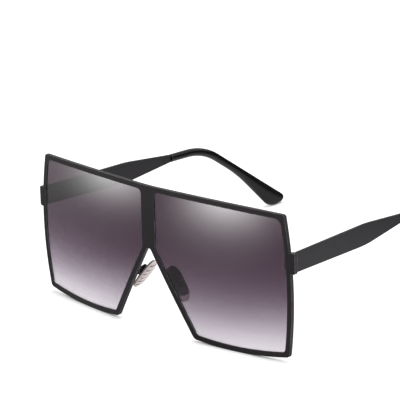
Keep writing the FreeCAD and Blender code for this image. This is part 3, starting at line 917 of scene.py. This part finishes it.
def soft_spot(tree, place, middle, ways, spreads):
    """Bell curve about a point: exp of minus half the squared distances along two ways, each over
    its own spread."""
    offset = vector_math(tree, "SUBTRACT", place, [c * MM for c in middle]).outputs[0]
    total = 0.0
    for way, spread in zip(ways, spreads):
        reach = vector_math(tree, "DOT_PRODUCT", offset, [c / (spread * MM) for c in way])
        size = math_node(tree, "ABSOLUTE", reach.outputs["Value"])
        total = math_node(tree, "ADD", math_node(tree, "POWER", size, 2.0), total)
    return math_node(tree, "EXPONENT", math_node(tree, "MULTIPLY", total, -0.5))


def card_finish(name, glow, spots):
    """Black card that glows evenly by a little, and more in soft spots."""
    material, tree, shader, place = finish(name)
    total = glow
    for strength, middle, ways, spreads in spots:
        spot = soft_spot(tree, place, middle, ways, spreads)
        total = math_node(tree, "MULTIPLY_ADD", spot, strength, total)
    feed(
        tree, shader, Base_Color=BLACK, Specular_IOR_Level=0.0,
        Emission_Color=WHITE, Emission_Strength=total,
    )
    return material


def card(name, corners, glow, spots=()):
    """Studio card that only reflections see."""
    material = card_finish(name, glow, spots)
    made = sheet_object(name, corners, material)
    made.visible_camera = False
    made.visible_diffuse = False
    made.visible_transmission = False
    made.visible_shadow = False
    material.cycles.emission_sampling = "NONE"


def lamp(name, place, aim, size, power):
    """Round soft lamp at a place, turned towards an aim."""
    data = bpy.data.lights.new(name, "AREA")
    data.shape = "DISK"
    data.size = size
    data.energy = power
    made = bpy.data.objects.new(name, data)
    made.location = place
    made.rotation_euler = (Vector(aim) - Vector(place)).to_track_quat("-Z", "Y").to_euler()
    bpy.context.scene.collection.objects.link(made)


floor_ends = (-FLOOR_HALF, FLOOR_HALF)
sheet_object("floor", level_corners(floor_ends, floor_ends, 0.0), floor_finish())

# Each card's soft spots: strength, middle, the two ways it spreads and its spread along them.
# The front card's last one lets the card's far edge run out into the white floor.
front_spots = (
    (7.0, (-129.0, -372.0, 0.0), ((0.481, 0.877, 0.0), (0.877, -0.481, 0.0)), (80.0, 24.7)),
    (3.4, (-263.0, -241.0, 0.0), ((0.828, 0.561, 0.0), (0.561, -0.828, 0.0)), (54.6, 24.4)),
    (0.5, (-360.0, -150.0, 0.0), LEVEL_WAYS, (130.0, 300.0)),
    (0.62, (-45.0, -75.0, 0.0), LEVEL_WAYS, (24.0, 32.0)),
    (0.4, (62.0, -80.0, 0.0), LEVEL_WAYS, (22.0, 42.0)),
    (1.1, (0.0, -1100.0, 0.0), LEVEL_WAYS, (9000.0, 210.0)),
)
rear_spots = ((0.8, (100.0, 70.0, 0.0), LEVEL_WAYS, (2000.0, 20.0)),)
back_card_corners = [
    (-900.0, 500.0, 3.0), (900.0, 500.0, 3.0), (900.0, 500.0, 190.0), (-900.0, 500.0, 190.0),
]
front_card_corners = level_corners((-900.0, 500.0), (-1100.0, -62.0), CARD_HEIGHT)
rear_card_corners = level_corners((-300.0, 600.0), (62.0, 499.0), CARD_HEIGHT)
card("front_card", front_card_corners, glow=0.04, spots=front_spots)
card("rear_card", rear_card_corners, glow=0.03, spots=rear_spots)
card("back_card", back_card_corners, glow=0.03)

lamp("overhead_softbox", place=(0.15, 0.2, 1.3), aim=(0.0, 0.0, 0.0), size=1.3, power=9.0)
lamp("right_softbox", place=(1.3, 0.1, 0.7), aim=(0.0, 0.0, 0.03), size=0.9, power=5.0)

# White world at full strength where it is seen, and weaker as a fill light
world = bpy.data.worlds.new("studio")
bpy.context.scene.world = world
world.use_nodes = True
sky = world.node_tree
fill = math_node(sky, "MULTIPLY_ADD", seen_share(sky), 1.0 - WORLD_FILL, WORLD_FILL)
feed(sky, sky.nodes["Background"], Color=WHITE, Strength=fill)

# Camera fitted to the photograph
camera_place = (763.7078, -804.6073, 425.2484)
camera_right = (0.719222, 0.692105, -0.060908)
camera_up = (-0.187529, 0.27779, 0.94216)
camera_ahead = (-0.668994, 0.6662, -0.329583)
camera = bpy.data.objects.new("camera", bpy.data.cameras.new("camera"))
bpy.context.scene.collection.objects.link(camera)
turn = Matrix((camera_right, camera_up, [-c for c in camera_ahead])).transposed().to_4x4()
camera.matrix_world = Matrix.Translation(Vector(camera_place) * MM) @ turn
camera.data.sensor_fit = "HORIZONTAL"
camera.data.sensor_width = 36.0
camera.data.lens = 242.52
camera.data.clip_end = 50.0
bpy.context.scene.camera = camera

bpy.context.scene.view_settings.view_transform = "Standard"
